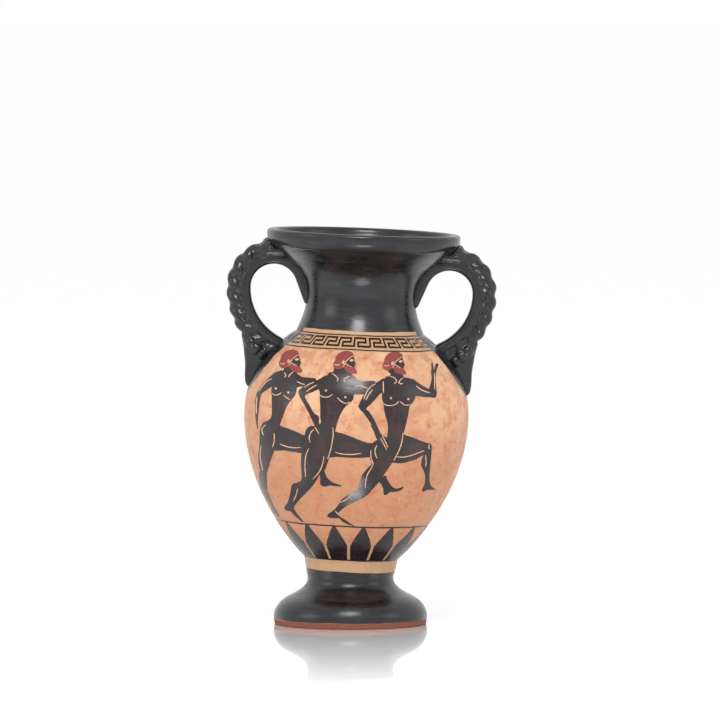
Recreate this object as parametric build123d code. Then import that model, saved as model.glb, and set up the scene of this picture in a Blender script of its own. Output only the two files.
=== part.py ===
"""A small black-figure neck amphora in fired clay, built from its luted pieces.

The foot is turned by itself and stands upright.  The belly, neck and lip are thrown
pieces, and each handle is a grooved strap with two clay coils twisted on it, luted to
the neck above and to the shoulder below.  Everything above the foot leans a little to
+X, because the belly was set slightly askew on its foot.

Units are millimetres.  The origin is the middle of the foot's resting face, +Z is up,
the handles lie along X and the painted front faces -Y.
"""

import os
from math import atan2, cos, degrees, pi, radians, sin

from build123d import *

# ---- foot
foot_height = 20.0  # resting face to the joint with the belly
foot_base_radius = 29.0
foot_band_radius = 29.2
foot_band_height = 1.3  # the straight clay edge left bare under the gloss
foot_edge_angle = 77.0  # degrees above level at which the disc's edge leaves the band
foot_edge_reach = 4.0
foot_slope_radius = 24.0  # a point half way up the disc's sloping top
foot_slope_level = 10.5
foot_slope_angle = 28.0  # degrees below level, going outwards
foot_slope_out_reach = 4.2
foot_slope_in_reach = 5.0
stem_radius = 16.5  # narrowest part of the stem
stem_level = 17.8
stem_reach = 3.5
stem_joint_radius = 16.9
stem_spread_angle = 76.0  # degrees above level at which the stem meets the belly
stem_top_reach = 0.8
foot_spare = 1.5  # length trimmed off the stem to the slant of the belly's joint

# ---- belly
body_lean = 2.3  # degrees that everything above the foot tips towards +X
body_height = 92.0  # joint with the foot to joint with the neck
belly_radius = 43.0
belly_level = 59.5  # widest part, above the foot joint
belly_low_reach = 25.0  # how far the side stays upright below the widest part
belly_high_reach = 17.0  # and above it
hip_radius = 18.0  # corner where the stem turns out into the belly
hip_level = 5.5
hip_angle = 42.0  # degrees above level at which the belly leaves the corner
hip_reach = 10.3
body_wall = 3.6
floor_thickness = 5.0
floor_reach = 8.0

# ---- neck and lip
neck_height = 31.8
neck_base_radius = 24.4
shoulder_angle = 37.0  # degrees below level at which the shoulder leaves the neck
shoulder_reach = 12.5
neck_root_angle = 110.0  # degrees above level at which the neck leaves the shoulder
neck_root_reach = 4.5
waist_radius = 20.9
waist_level = 13.0  # above the neck's base
waist_low_reach = 6.0
waist_high_reach = 9.5
flare_angle = 38.0  # degrees above level at which the flare meets the lip
flare_reach = 10.0
neck_wall = 3.2
lip_height = 6.2
lip_radius = 37.0
lip_overhang = 2.8  # how far the lip stands out from the neck's top
lip_thickness = 3.4
lip_under_round = 1.3
lip_outer_round = 2.8
lip_flare_reach = 2.2

# ---- handles, in the plane of the pot's axis
crown_inset = 3.4  # middle of the strap's bend at the top, inside the lip's radius
crown_gap = 3.1  # between the top of that bend and the neck's top
landing_inset = 6.9  # where the strap's inside is buried, inside the crown's middle
landing_depth = 2.9  # and below the shoulder's surface
rope_start = 70.0  # degrees above level, round the crown, where the coils begin
rope_stop = 23.0  # degrees by which they stop short of the strap's buried end
web_end = 158.0  # degrees round the crown where the strap turns down the neck
web_length = 30.0  # more than reaches the neck, which trims it
strap_thickness = 3.6
strap_width = 7.6
strap_round = 1.2
groove_depth = 0.6
strand_diameter = 3.0
strand_gap = 0.1  # between the two coils, and round them in the groove
strand_pitch = 11.9  # one full turn of a coil
strand_steps = 10  # points per turn on a coil's middle line
strand_spare = 2.0  # length trimmed off each end of a coil
root_width = 8.4
root_round = 1.5  # rounding of the upper root's long edges
root_height = 2.4  # how far the upper root rises above the neck's top
root_crest = 0.4  # how far it stands above the coils
root_turn = 128.0  # degrees round the crown where it runs out on the neck
tail_wrap = 16.0  # degrees round the side over which the lower root wraps the coils
tail_start_reach = 3.5
tail_drop = 21.5  # its tip, below the strap's landing
tail_angle = 76.0  # degrees above level at which its edge leaves the tip
tail_reach = 8.5
tail_width = 3.4

# ---- sampling of the curves
wall_steps = 7  # points on each inside curve
shoulder_steps = 40  # points on the shoulder, for finding a level or a radius on it

# ---- levels and sizes that follow from the ones above, in the pot's own frame
neck_level = foot_height + body_height
lip_level = neck_level + neck_height
lip_top = lip_level + lip_height
flare_radius = lip_radius - lip_overhang
crown_reach = lip_radius - crown_inset
crown_radius = crown_reach - waist_radius - strap_thickness
crown_level = lip_level - crown_gap - strap_thickness - crown_radius
strand_offset = (strand_diameter + strand_gap) / 2
rope_radius = strand_offset + strand_diameter / 2
groove_round = rope_radius + strand_gap
rope_offset = strap_thickness - groove_depth + rope_radius


def at(radius, level):
    """A point in the plane of the pot's axis."""
    return Vector(radius, 0, level)


def toward(point, length, angle):
    """The point a length away from another, at an angle in degrees above level."""
    return point + at(length * cos(radians(angle)), length * sin(radians(angle)))


def straight(*corners):
    """Straight edges from corner to corner."""
    return [Edge.make_line(a, b) for a, b in zip(corners, corners[1:])]


def across(points, level):
    """The point where a rising run of points passes a level."""
    for a, b in zip(points, points[1:]):
        if a.Z <= level <= b.Z:
            return a + (b - a) * ((level - a.Z) / (b.Z - a.Z))


def level_at(points, radius):
    """The level at which a run of points that narrows upwards has a radius."""
    for a, b in zip(points, points[1:]):
        if a.X >= radius >= b.X:
            return a.Z + (b.Z - a.Z) * (a.X - radius) / (a.X - b.X)


def inset(curves, wall):
    """Points inside a run of rising curves, a wall's thickness away from them."""
    points = []
    for curve in curves:
        for i in range(wall_steps):
            here = (i + 0.5) / wall_steps
            along = curve.tangent_at(here)
            points.append(curve.position_at(here) + at(-along.Z, along.X) * wall)
    return points


def turned(edges):
    """The solid a closed outline sweeps out about the axis, its seam off the handles."""
    return revolve(Face(Wire(edges)), Axis.Z, 360).rotate(Axis.Z, 90)


# ---- foot
band_top = at(foot_band_radius, foot_band_height)
slope = at(foot_slope_radius, foot_slope_level)
stem = at(stem_radius, stem_level)
stem_top = at(stem_joint_radius, foot_height)
foot_edges = straight(
    at(0, foot_height + foot_spare),
    at(0, 0),
    at(foot_base_radius, 0),
    band_top,
)
foot_edges += [
    Edge.make_bezier(
        band_top,
        toward(band_top, foot_edge_reach, foot_edge_angle),
        toward(slope, foot_slope_out_reach, -foot_slope_angle),
        slope,
    ),
    Edge.make_bezier(
        slope,
        toward(slope, -foot_slope_in_reach, -foot_slope_angle),
        stem - at(0, stem_reach),
        stem,
    ),
    Edge.make_bezier(
        stem,
        stem + at(0, stem_top_reach),
        toward(stem_top, -stem_top_reach, stem_spread_angle),
        stem_top,
    ),
]
stem_spare = toward(stem_top, foot_spare / sin(radians(stem_spread_angle)), stem_spread_angle)
foot_edges += straight(stem_top, stem_spare, at(0, foot_height + foot_spare))
lean_axis = Axis(at(0, foot_height), (0, 1, 0))
lean_up = (sin(radians(body_lean)), 0, cos(radians(body_lean)))
joint = Plane(origin=at(0, foot_height), z_dir=lean_up)
foot = split(turned(foot_edges), bisect_by=joint, keep=Keep.BOTTOM)

# ---- outside of the belly and shoulder
hip = at(hip_radius, foot_height + hip_level)
belly = at(belly_radius, foot_height + belly_level)
neck_base = at(neck_base_radius, neck_level)
lower_belly = Edge.make_bezier(
    hip,
    toward(hip, hip_reach, hip_angle),
    belly - at(0, belly_low_reach),
    belly,
)
shoulder = Edge.make_bezier(
    belly,
    belly + at(0, belly_high_reach),
    toward(neck_base, shoulder_reach, -shoulder_angle),
    neck_base,
)

# ---- the handle's bend down the side, from the shoulder that it lands on
shoulder_run = [shoulder @ (i / shoulder_steps) for i in range(shoulder_steps + 1)]
landing_radius = crown_reach - landing_inset
landing_level = level_at(shoulder_run, landing_radius)
landing_fall = crown_level - landing_level + landing_depth
side_in = landing_inset + crown_radius
side_radius = (side_in**2 + landing_fall**2) / (2 * side_in)
side_reach = crown_reach + crown_radius - side_radius
strap_end = degrees(atan2(landing_fall, landing_radius - side_reach))
rope_end = strap_end - rope_stop
tail_start = rope_end - tail_wrap

# ---- outside of the neck
waist = at(waist_radius, neck_level + waist_level)
flare = at(flare_radius, lip_level)
lower_neck = Edge.make_bezier(
    neck_base,
    toward(neck_base, neck_root_reach, neck_root_angle),
    waist - at(0, waist_low_reach),
    waist,
)
upper_neck = Edge.make_bezier(
    waist,
    waist + at(0, waist_high_reach),
    toward(flare, -flare_reach, flare_angle),
    flare,
)

# ---- inside of the neck and belly
neck_inside = inset([lower_neck, upper_neck], neck_wall)
neck_bore = across(neck_inside, neck_level)
lip_bore = across(neck_inside, lip_level)
neck_inside = [p for p in neck_inside if neck_bore.Z + 1 < p.Z < lip_bore.Z - 1]
neck_inside = [neck_bore] + neck_inside + [lip_bore]
belly_inside = inset([lower_belly, shoulder], body_wall) + [neck_bore]
floor_middle = at(0, foot_height + floor_thickness)

body = turned(
    straight(floor_middle, at(0, foot_height), stem_top, hip)
    + [lower_belly, shoulder]
    + straight(neck_base, neck_bore)
    + [
        Edge.make_spline(belly_inside),
        Edge.make_bezier(
            belly_inside[0],
            toward(belly_inside[0], -hip_reach / 2, hip_angle),
            floor_middle + at(floor_reach, 0),
            floor_middle,
        ),
    ]
)
neck = turned(
    [lower_neck, upper_neck]
    + straight(flare, lip_bore)
    + [Edge.make_spline(neck_inside)]
    + straight(neck_bore, neck_base)
)

# ---- lip
lip_under = at(lip_radius - lip_under_round, lip_level)
lip_side_low = at(lip_radius, lip_level + lip_under_round)
lip_side_high = at(lip_radius, lip_top - lip_outer_round)
lip_crest = at(lip_radius - lip_thickness / 2, lip_top)
lip_inner = at(lip_radius - lip_thickness, lip_top - lip_thickness / 2)
lip_corners = [
    (lip_under, at(lip_radius, lip_level), lip_side_low),
    (lip_side_high, at(lip_radius, lip_top), lip_crest),
    (lip_crest, at(lip_inner.X, lip_top), lip_inner),
]
lip_outside = [Edge.make_bezier(*lip_corners[0])]
lip_outside += straight(lip_side_low, lip_side_high)
lip_outside += [Edge.make_bezier(*corner) for corner in lip_corners[1:]]
lip = turned(
    straight(lip_bore, lip_under)
    + lip_outside
    + [
        Edge.make_bezier(
            lip_inner,
            lip_inner - at(0, lip_flare_reach),
            toward(lip_bore, lip_flare_reach, flare_angle),
            lip_bore,
        )
    ]
)

# ---- the pot without its hollow, for trimming what is luted to it
pot = turned(
    straight(at(0, foot_height), stem_top, hip)
    + [lower_belly, shoulder, lower_neck, upper_neck]
    + straight(flare, lip_under)
    + lip_outside[:3]
    + straight(lip_crest, at(0, lip_top), at(0, foot_height))
)

# ---- handles
crown = at(crown_reach, crown_level)
side = at(side_reach, crown_level)
crown_out = Axis(crown, (0, -1, 0))
side_down = Axis(side, (0, 1, 0))


def section(outline):
    """An outline set square across the handle, level with its two bends."""
    return Plane(origin=crown, x_dir=(1, 0, 0), z_dir=(0, 0, 1)) * outline


def bend(face, up, down):
    """A section carried up round the crown and down the side by two angles."""
    return revolve(face, crown_out, up) + revolve(face, side_down, down)


strap_middle = Pos(crown_radius + strap_thickness / 2, 0)
strap_face = section(strap_middle * RectangleRounded(strap_thickness, strap_width, strap_round))
rope_middle = Pos(crown_radius + rope_offset, 0)
tube = bend(section(rope_middle * Circle(groove_round)), rope_start, rope_end)
web_along = at(-sin(radians(web_end)), cos(radians(web_end)))
web_face = strap_face.rotate(crown_out, web_end)
web = extrude(web_face, amount=web_length, dir=web_along)
strap = bend(strap_face, web_end, strap_end) + web - tube - pot


def coil_middle(length, turn):
    """A point on a coil's middle line, from the length down the rope and the turn."""
    crown_run = (crown_radius + rope_offset) * radians(rope_start)
    if length < crown_run:
        centre, radius = crown, crown_radius + rope_offset
        angle = radians(rope_start) - length / radius
    else:
        centre, radius = side, side_radius + rope_offset
        angle = (crown_run - length) / radius
    out = at(cos(angle), sin(angle))
    swing = 2 * pi * (length / strand_pitch + turn)
    return centre + out * (radius + strand_offset * cos(swing)) + Vector(
        0, strand_offset * sin(swing), 0
    )


def coil(turn):
    """One clay coil of the rope, starting a share of a turn round from level."""
    crown_run = (crown_radius + rope_offset) * radians(rope_start)
    side_run = (side_radius + rope_offset) * radians(rope_end)
    run = crown_run + side_run + 2 * strand_spare
    count = round(run / strand_pitch * strand_steps)
    points = [
        coil_middle(i / count * run - strand_spare, turn) for i in range(count + 1)
    ]
    path = Edge.make_spline(points)
    start = Plane(origin=path @ 0, z_dir=path % 0)
    whole = sweep(start * Circle(strand_diameter / 2), path)
    for centre, angle, sense in ((crown, rope_start, -1), (side, -rope_end, 1)):
        inward = at(-sense * sin(radians(angle)), sense * cos(radians(angle)))
        whole = split(whole, bisect_by=Plane(origin=centre, z_dir=inward), keep=Keep.TOP)
    return whole - pot


def slab(edges, width):
    """A flat outline in the plane of the pot's axis, thickened evenly about it."""
    outline = Face(Wire(edges)).moved(Location((0, -width / 2, 0)))
    return extrude(outline, amount=width, dir=(0, 1, 0))


# ---- upper root, between the strap's crown, the neck's flare and the lip
strap_outside = crown_radius + strap_thickness
root_low = toward(crown, strap_outside, rope_start)
root_high = toward(crown, strap_outside - groove_depth + 2 * rope_radius + root_crest, rope_start)
root_back = toward(crown, strap_outside, root_turn)
root_lip = at(lip_radius - lip_thickness, lip_level + root_height)
upper_root = slab(
    [
        Edge.make_line(root_low, root_high),
        Edge.make_line(root_high, root_lip),
    ]
    + straight(root_lip, at(waist_radius, lip_level), root_back)
    + [Edge.make_three_point_arc(root_back, toward(crown, strap_outside, 100), root_low)],
    root_width,
)
root_top = max(root_high.Z, root_lip.Z)
root_arch = Pos(0, root_top - root_width) * RectangleRounded(
    root_width, 2 * root_width, root_round
)
upper_root = (upper_root & extrude(Plane.YZ * root_arch, amount=2 * lip_radius)) - pot

# ---- lower root, wrapped round the end of the coils and drawn down the shoulder
tail_tip = across(shoulder_run, landing_level - tail_drop)
over_rope = side_radius + strap_thickness - groove_depth + 2 * rope_radius
tail_top = toward(side, over_rope + strand_gap, -tail_start)
tail_middle = toward(side, side_radius + rope_offset, -tail_start)
tail_end = toward(side, side_radius + rope_offset, -rope_end)
tail_low = toward(side, side_radius + strap_thickness, -rope_end)
tail_back = toward(side, side_radius + strap_thickness, -strap_end)
tail_half = (tail_start + rope_end) / 2
lower_root = slab(
    [
        Edge.make_line(tail_top, tail_middle),
        Edge.make_three_point_arc(
            tail_middle, toward(side, side_radius + rope_offset, -tail_half), tail_end
        ),
        Edge.make_line(tail_end, tail_low),
        Edge.make_three_point_arc(
            tail_low,
            toward(side, side_radius + strap_thickness, -(rope_end + strap_end) / 2),
            tail_back,
        ),
        Edge.make_line(tail_back, tail_tip - at(tail_reach, 0)),
        Edge.make_line(tail_tip - at(tail_reach, 0), tail_tip),
        Edge.make_bezier(
            tail_tip,
            toward(tail_tip, tail_reach, tail_angle),
            toward(tail_top, tail_start_reach, -90 - tail_start),
            tail_top,
        ),
    ],
    root_width,
)
tongue = Plane.YZ * make_face(
    Polyline(
        (-tail_width / 2, tail_tip.Z - tail_width),
        (-root_width / 2, tail_top.Z),
        (root_width / 2, tail_top.Z),
        (tail_width / 2, tail_tip.Z - tail_width),
        close=True,
    )
)
tongue = extrude(tongue, amount=2 * belly_radius)
lower_root = (lower_root & tongue) - tube - pot

handle = {
    "strap": strap,
    "strand_a": coil(0),
    "strand_b": coil(0.5),
    "upper_root": upper_root,
    "lower_root": lower_root,
}

# ---- set the pot on its foot and write every piece
pieces = {"body": body, "neck": neck, "lip": lip}
for name, piece in handle.items():
    pieces[f"handle_right_{name}"] = piece
    pieces[f"handle_left_{name}"] = piece.rotate(Axis.Z, 180)
pieces = {name: piece.rotate(lean_axis, body_lean) for name, piece in pieces.items()}
pieces["foot"] = foot

os.makedirs("parts", exist_ok=True)
for name, piece in pieces.items():
    print(name, len(piece.solids()), round(piece.volume, 1), piece.is_valid)
    export_step(piece, f"parts/{name}.step")
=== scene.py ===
import math
import random
import bmesh
import bpy
import numpy as np
from mathutils import Matrix, Vector
from mathutils.bvhtree import BVHTree
from mathutils.geometry import delaunay_2d_cdt


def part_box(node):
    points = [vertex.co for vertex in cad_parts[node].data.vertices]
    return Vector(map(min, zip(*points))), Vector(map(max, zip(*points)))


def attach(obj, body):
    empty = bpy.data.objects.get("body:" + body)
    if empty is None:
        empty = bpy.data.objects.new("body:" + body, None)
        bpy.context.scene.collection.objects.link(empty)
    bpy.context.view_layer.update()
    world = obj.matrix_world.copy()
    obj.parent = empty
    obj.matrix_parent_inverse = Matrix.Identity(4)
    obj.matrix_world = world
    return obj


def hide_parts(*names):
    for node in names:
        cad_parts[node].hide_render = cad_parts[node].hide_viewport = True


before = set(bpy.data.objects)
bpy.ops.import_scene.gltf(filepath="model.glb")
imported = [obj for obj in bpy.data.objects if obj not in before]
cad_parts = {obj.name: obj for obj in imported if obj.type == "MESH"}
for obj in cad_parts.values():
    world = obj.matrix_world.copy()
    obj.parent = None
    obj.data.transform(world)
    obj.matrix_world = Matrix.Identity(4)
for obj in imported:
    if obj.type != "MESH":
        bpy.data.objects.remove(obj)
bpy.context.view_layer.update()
scene = bpy.context.scene
mm = 0.001
turnFull = 2 * math.pi

# the pot leans about the middle of the joint between foot and belly
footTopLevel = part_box("foot")[1].z
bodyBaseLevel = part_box("body")[0].z
lipLow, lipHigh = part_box("lip")
jointLevel = (footTopLevel + bodyBaseLevel) / 2
lipMiddle = (lipLow + lipHigh) / 2
lean = math.atan2(lipMiddle.x, lipMiddle.z - jointLevel)
leanMatrix = (
    Matrix.Translation((0, 0, jointLevel))
    @ Matrix.Rotation(lean, 4, "Y")
    @ Matrix.Translation((0, 0, -jointLevel))
)
print("frame loaded, lean in degrees:", round(math.degrees(lean), 2))


class Nodes:
    # short ways to add and join nodes in one tree
    def __init__(self, tree):
        self.tree = tree

    def add(self, kind, inputs=None, **settings):
        node = self.tree.nodes.new(kind)
        for name, value in settings.items():
            setattr(node, name, value)
        for key, value in (inputs or {}).items():
            self.put(node.inputs[key], value)
        return node

    def get(self, kind, inputs=None, **settings):
        return self.add(kind, inputs, **settings).outputs[0]

    def put(self, socket, value):
        if isinstance(value, bpy.types.NodeSocket):
            self.tree.links.new(value, socket)
        else:
            socket.default_value = value

    def math(self, operation, *values):
        return self.get("ShaderNodeMath", dict(enumerate(values)), operation=operation)

    def times(self, a, b):
        return self.math("MULTIPLY", a, b)

    def plus(self, a, b):
        return self.math("ADD", a, b)

    def sway(self, noise, size):
        # a noise made to swing both ways about nothing
        return self.times(self.math("SUBTRACT", noise, 0.5), size)

    def vector(self, operation, *values):
        node = self.add("ShaderNodeVectorMath", dict(enumerate(values)), operation=operation)
        return node.outputs["Value" if operation in ("DOT_PRODUCT", "LENGTH") else 0]

    def scaled(self, vector, size):
        return self.get("ShaderNodeVectorMath", {0: vector, "Scale": size}, operation="SCALE")

    def combine(self, x=0.0, y=0.0, z=0.0):
        return self.get("ShaderNodeCombineXYZ", {0: x, 1: y, 2: z})

    def split(self, vector):
        return self.add("ShaderNodeSeparateXYZ", {0: vector}).outputs

    def ramp(self, value, low, high, **settings):
        # 0 at the low end and 1 at the high one
        return self.get(
            "ShaderNodeMapRange", {"Value": value, "From Min": low, "From Max": high}, **settings
        )

    def step(self, value, edge, soft):
        return self.ramp(value, edge - soft, edge + soft, interpolation_type="SMOOTHSTEP")

    def between(self, value, low, high, soft):
        # 1 between two levels and 0 outside them
        above = self.math("SUBTRACT", 1.0, self.step(value, high, soft))
        return self.times(self.step(value, low, soft), above)

    def blend(self, share, a, b):
        return self.get("ShaderNodeMix", {0: share, 2: a, 3: b})

    def mix(self, share, a, b):
        # two colours, where blend takes two values
        return self.add("ShaderNodeMix", {0: share, 6: a, 7: b}, data_type="RGBA").outputs[2]

    def tint(self, color, noise, edge, soft, strength, rgb):
        # another colour where the noise rises past an edge
        return self.mix(self.times(self.step(noise, edge, soft), strength), color, linear(*rgb))

    def noise(self, vector, scale, detail=3.0, rough=0.55, stretch=None):
        if stretch:
            vector = self.vector("MULTIPLY", vector, stretch)
        settings = {"Vector": vector, "Scale": scale, "Detail": detail, "Roughness": rough}
        return self.get("ShaderNodeTexNoise", settings)

    def use(self, tree, **inputs):
        return self.add("ShaderNodeGroup", inputs, node_tree=tree).outputs


def newGroup(name, kind, inputs, outputs):
    # named sockets as lists of (name, socket type, default)
    tree = bpy.data.node_groups.new(name, kind)
    for label, socketType, *default in inputs:
        socket = tree.interface.new_socket(label, in_out="INPUT", socket_type=socketType)
        if default:
            socket.default_value = default[0]
    for label, socketType in outputs:
        tree.interface.new_socket(label, in_out="OUTPUT", socket_type=socketType)
    nodes = Nodes(tree)
    start = nodes.add("NodeGroupInput")
    end = nodes.add("NodeGroupOutput")
    return tree, nodes, start.outputs, end.inputs


def linear(red, green, blue):
    # a shader colour from 0 to 255 values
    values = []
    for value in (red, green, blue):
        value /= 255
        values.append(value / 12.92 if value < 0.04045 else ((value + 0.055) / 1.055) ** 2.4)
    return (*values, 1.0)


floatSocket, colorSocket, vectorSocket = "NodeSocketFloat", "NodeSocketColor", "NodeSocketVector"
shapeSocket = "NodeSocketGeometry"


def newLook(name, *inputs):
    # a group that reads the place on the pot and gives a colour, a roughness and a height
    return newGroup(
        name, "ShaderNodeTree", [("Place", vectorSocket), *inputs],
        [("Color", colorSocket), ("Roughness", floatSocket), ("Height", floatSocket)],
    )


# place on the pot: across, deep and up in millimetres, with the lean taken out
potPlace, n, given, out = newGroup(
    "potPlace", "ShaderNodeTree", [("Upright", floatSocket, 0.0)],
    [("Place", vectorSocket), ("Level", floatSocket), ("Side", floatSocket)],
)
coords = n.add("ShaderNodeTexCoord").outputs["Object"]
fromJoint = n.vector("SUBTRACT", coords, (0, 0, jointLevel))
across = n.vector("DOT_PRODUCT", fromJoint, (math.cos(lean), 0, -math.sin(lean)))
upward = n.vector("DOT_PRODUCT", fromJoint, (math.sin(lean), 0, math.cos(lean)))
split = n.split(coords)
level = n.blend(given["Upright"], n.plus(upward, jointLevel), split["Z"])
across, depth, level = (n.math("DIVIDE", value, mm) for value in (across, split["Y"], level))
n.put(out["Place"], n.combine(across, depth, level))
n.put(out["Level"], level)
turned = n.math("ARCTAN2", n.math("ABSOLUTE", depth), n.math("ABSOLUTE", across))
n.put(out["Side"], n.math("DEGREES", turned))

# burnished orange clay, blotched with iron red, and paler and yellower high up; that paleness is a painted
# highlight for the broad glare of the light on the upper belly
clayLook, n, given, out = newLook("clayLook", ("Level", floatSocket, 70.0))
place = given["Place"]
cloud = n.noise(place, 0.16, 4.0, 0.62)
# painted highlight: the clay blends to a paler, yellower tone above about 82 mm, where the broad glare
# falls
clay = n.mix(n.step(given["Level"], 82.0, 26.0), linear(193, 138, 102), linear(219, 180, 142))
clay = n.tint(clay, n.noise(place, 0.035, 3.0, 0.6), 0.5, 0.12, 0.6, (188, 131, 93))
clay = n.tint(clay, cloud, 0.55, 0.1, 0.65, (184, 119, 84))
clay = n.tint(clay, n.noise(place, 0.34, 7.0, 0.8), 0.58, 0.05, 0.75, (186, 84, 56))
clay = n.tint(clay, n.noise(place, 0.9, 4.0, 0.7), 0.6, 0.1, 0.3, (218, 176, 138))
speck = n.add("ShaderNodeTexVoronoi", {"Vector": place, "Scale": 0.3})
speckHere = n.math("LESS_THAN", speck.outputs["Distance"], 0.07)
speckFew = n.math("GREATER_THAN", n.noise(place, 0.5, 1.0), 0.52)
clay = n.mix(n.times(n.times(speckHere, speckFew), 0.6), clay, linear(96, 52, 40))
n.put(out["Color"], clay)
n.put(out["Roughness"], n.math("MULTIPLY_ADD", cloud, 0.25, 0.36))
grain = n.noise(place, 3.6, 2.0, 0.6)
ridges = n.noise(place, 0.5, 2.0, 0.5, (0.03, 0.03, 1.0))
n.put(out["Height"], n.plus(n.times(grain, 0.35), n.times(ridges, 0.65)))

# black slip fired to a gloss: streaked by the brush, dulled and rubbed in places
glossLook, n, given, out = newLook(
    "glossLook", ("Streaks", floatSocket, 1.0), ("Wear", floatSocket, 1.0)
)
place = given["Place"]
streak = n.noise(place, 0.8, 4.0, 0.6, (0.12, 0.12, 1.0))
patch = n.noise(place, 0.12, 4.0, 0.6)
pits = n.noise(place, 2.2, 3.0, 0.65)
dark = n.mix(n.step(patch, 0.52, 0.2), linear(14, 14, 17), linear(26, 26, 31))
dark = n.tint(dark, streak, 0.6, 0.1, n.times(given["Streaks"], 0.4), (46, 45, 50))
rubbed = n.times(n.step(pits, 0.7, 0.06), given["Wear"])
n.put(out["Color"], n.mix(n.times(rubbed, 0.35), dark, linear(84, 74, 72)))
rough = n.math("MULTIPLY_ADD", patch, 0.3, 0.08)
rough = n.plus(rough, n.times(n.step(streak, 0.55, 0.1), 0.08))
n.put(out["Roughness"], n.plus(rough, n.times(rubbed, 0.2)))
soft = n.noise(place, 0.3, 3.0, 0.5, (0.35, 0.35, 1.0))
n.put(out["Height"], n.plus(n.times(soft, 0.75), n.times(pits, 0.25)))

# a brushed edge: the level, made to wander as a hand-held brush does
brushEdge, n, given, out = newGroup(
    "brushEdge", "ShaderNodeTree",
    [("Place", vectorSocket), ("Level", floatSocket, 0.0), ("Wander", floatSocket, 0.5),
     ("Reach", floatSocket, 0.12)],
    [("Level", floatSocket)],
)
flat = n.vector("MULTIPLY", given["Place"], (1.0, 1.0, 0.25))
slow = n.noise(n.scaled(flat, given["Reach"]), 1.0, 2.0)
fine = n.math("MULTIPLY_ADD", n.noise(flat, 0.9, 2.0), 0.2, -0.1)
shift = n.plus(n.math("SUBTRACT", slow, 0.5), fine)
n.put(out["Level"], n.math("MULTIPLY_ADD", shift, given["Wander"], given["Level"]))


def newMaterial(name):
    material = bpy.data.materials.new(name)
    material.use_nodes = True
    material.node_tree.nodes.clear()
    return material, Nodes(material.node_tree)


def layer(n, share, below, above):
    # one look over another: colour, roughness and height together
    return {
        "Color": n.mix(share, below["Color"], above["Color"]),
        "Roughness": n.blend(share, below["Roughness"], above["Roughness"]),
        "Height": n.blend(share, below["Height"], above["Height"]),
    }


def dress(n, look, depth, film=None):
    # the look into the shader, with the film of slip as a low step
    bump = n.get("ShaderNodeBump", {"Height": look["Height"], "Distance": depth, "Strength": 1.0})
    if film is not None:
        bump = n.get("ShaderNodeBump", {"Height": film, "Distance": 0.05 * mm, "Normal": bump})
    surface = n.get(
        "ShaderNodeBsdfPrincipled",
        {"Base Color": look["Color"], "Roughness": look["Roughness"], "Normal": bump},
    )
    n.add("ShaderNodeOutputMaterial", {"Surface": surface})


# levels of the painted zones, in millimetres on the pot
zones = {
    "bareTop": 2.2, "footTop": 20.9, "lowerLine": 25.6, "baseLine": 39.3,
    "bandLow": 106.7, "bandHigh": 111.9, "neckEdge": 113.4, "thinLine": 0.22, "thickLine": 0.3,
    "creamBelow": 0.5, "creamAbove": 1.0, "washBelow": 1.0, "washAbove": 4.5, "washSoft": 2.0,
    "crisp": 0.05, "creamSoft": 0.06, "bareSoft": 0.2, "leafSoft": 0.35,
}
# the black under each handle closes to a point low on the shoulder: shares of the height and of
# the turn that one unit of width stands for
leaf = {
    "height": 150.0, "width": 100.0, "wander": 5.0,
    "shape": [
        (0.0, 0.0), (0.575, 0.0), (0.586, 0.06), (0.61, 0.15), (0.65, 0.215),
        (0.70, 0.25), (0.735, 0.262), (1.0, 0.262),
    ],
}


def leafBlack(n, spot):
    width = n.add("ShaderNodeFloatCurve", {"Value": n.math("DIVIDE", spot["Level"], leaf["height"])})
    points = width.mapping.curves[0].points
    for index, corner in enumerate(leaf["shape"]):
        if index < 2:
            points[index].location = corner
        else:
            points.new(*corner)
    width.mapping.update()
    noise = n.noise(spot["Place"], 0.22, 3.0)
    wander = n.math("MULTIPLY_ADD", noise, leaf["wander"], -leaf["wander"] / 2)
    inside = n.math(
        "SUBTRACT", n.times(width.outputs[0], leaf["width"]), n.plus(spot["Side"], wander)
    )
    return n.step(inside, 0.0, zones["leafSoft"])


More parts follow.
